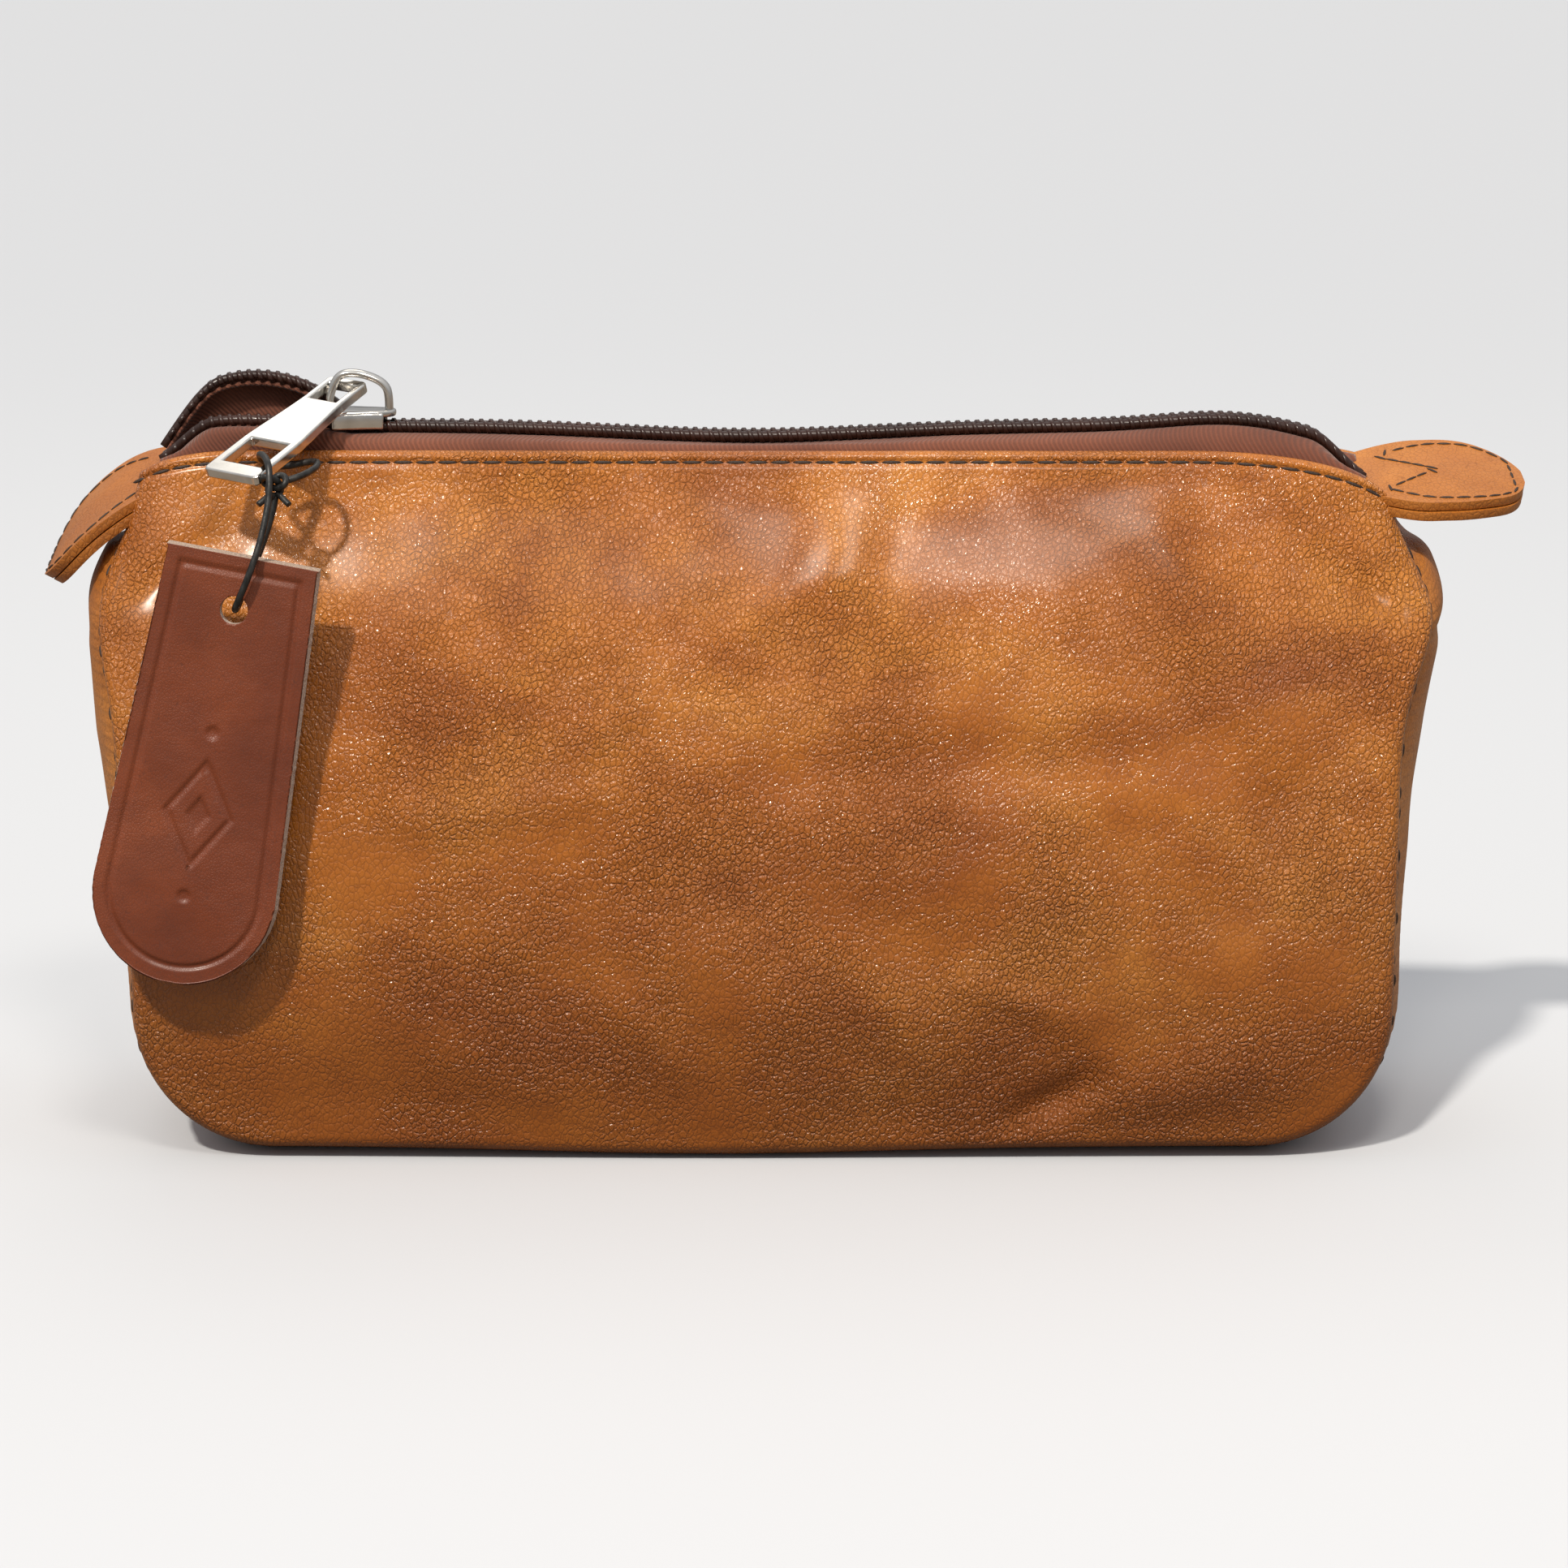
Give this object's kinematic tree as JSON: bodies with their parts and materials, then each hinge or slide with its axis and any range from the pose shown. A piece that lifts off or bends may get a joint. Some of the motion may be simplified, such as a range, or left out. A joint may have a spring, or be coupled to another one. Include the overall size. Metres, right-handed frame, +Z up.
{
  "type": "zippered pouch",
  "caption": "Soft boxed leather pouch with a coil zipper along the top, a leather tab at each end and a leather hang tag on a waxed cord tied to the zipper pull.",
  "frame": {"origin": "centre of the flat base that the pouch stands on", "axes": "+X along the zipper, from the open end with the slider towards the closed end; -Y towards the front panel with the hang tag; +Z up"},
  "size_m": [0.2209, 0.0632, 0.1147],
  "materials": {
    "cognac_leather": "glossy waxed cognac leather with a pebbled grain",
    "russet_leather": "smooth vegetable-tanned russet leather, raw cut edges",
    "zipper_tape": "woven reddish brown polyester tape",
    "lining_cloth": "plain woven beige lining",
    "coil_nylon": "dark brown nylon coil",
    "sewing_thread": "dark brown bonded thread",
    "nickel": "polished and lightly brushed nickel plate",
    "waxed_cord": "black waxed cord"
  },
  "bodies": {
    "root": {"front_panel": "cognac_leather", "back_panel": "cognac_leather", "gusset_strip": "cognac_leather", "lining_front": "lining_cloth", "lining_back": "lining_cloth", "lining_gusset": "lining_cloth", "front_hem_thread": "sewing_thread", "back_hem_thread": "sewing_thread", "front_seam_thread": "sewing_thread", "back_seam_thread": "sewing_thread"},
    "front_lip": {"zipper_tape_front": "zipper_tape", "zipper_coil_front": "coil_nylon"},
    "back_lip": {"zipper_tape_back": "zipper_tape", "zipper_coil_back": "coil_nylon"},
    "slider": {"slider_body": "nickel", "slider_crown": "nickel"},
    "pull": {"zipper_pull": "nickel"},
    "cord": {"tag_cord": "waxed_cord", "cord_knot": "waxed_cord"},
    "tag": {"hang_tag": "russet_leather"},
    "tab_left": {"tab_left_upper": "cognac_leather", "tab_left_lower": "cognac_leather", "tab_left_thread": "sewing_thread"},
    "tab_right": {"tab_right_upper": "cognac_leather", "tab_right_lower": "cognac_leather", "tab_right_thread": "sewing_thread"}
  },
  "joints": [
    {"name": "slider_slide", "type": "slide", "parent": "root", "child": "slider", "axis": [1, 0, 0], "range_m": [-0.012, 0.125], "deforming": ["zipper_tape_front", "zipper_tape_back", "zipper_coil_front", "zipper_coil_back"]},
    {"name": "front_lip_open", "type": "hinge", "parent": "root", "child": "front_lip", "pos_m": [0, -0.028, 0.045], "axis": [1, 0, 0], "range_deg": [-1, 9.2], "deforming": ["zipper_tape_front", "zipper_coil_front"]},
    {"name": "back_lip_open", "type": "hinge", "parent": "root", "child": "back_lip", "pos_m": [0, 0.028, 0.045], "axis": [-1, 0, 0], "range_deg": [-1, 9.2], "deforming": ["zipper_tape_back", "zipper_coil_back"]},
    {"name": "pull_swing", "type": "hinge", "parent": "slider", "child": "pull", "pos_m": [-0.0619, 0.0007, 0.11235], "axis": [-0.8398, 0.5379, 0.0735], "range_deg": [0, 95]},
    {"name": "cord_swing", "type": "hinge", "parent": "pull", "child": "cord", "pos_m": [-0.0729, -0.0212, 0.10205], "axis": [-0.8398, 0.5379, 0.0735], "range_deg": [0, 60], "deforming": ["tag_cord"]},
    {"name": "tag_turn", "type": "hinge", "parent": "cord", "child": "tag", "pos_m": [-0.0755, -0.0274, 0.0836], "axis": [0.0191, -0.995, 0.0981], "range_deg": [-10, 25]},
    {"name": "tab_left_flex", "type": "hinge", "parent": "root", "child": "tab_left", "pos_m": [-0.0915, 0, 0.0985], "axis": [0, 1, 0], "range_deg": [0, 45]},
    {"name": "tab_right_flex", "type": "hinge", "parent": "root", "child": "tab_right", "pos_m": [0.0915, 0, 0.0985], "axis": [0, -1, 0], "range_deg": [-30, 20]}
  ],
  "couplings": [
    {"joint": "front_lip_open", "follows": "slider_slide", "rad_per_m": 1.257},
    {"joint": "back_lip_open", "follows": "slider_slide", "rad_per_m": 1.257}
  ]
}
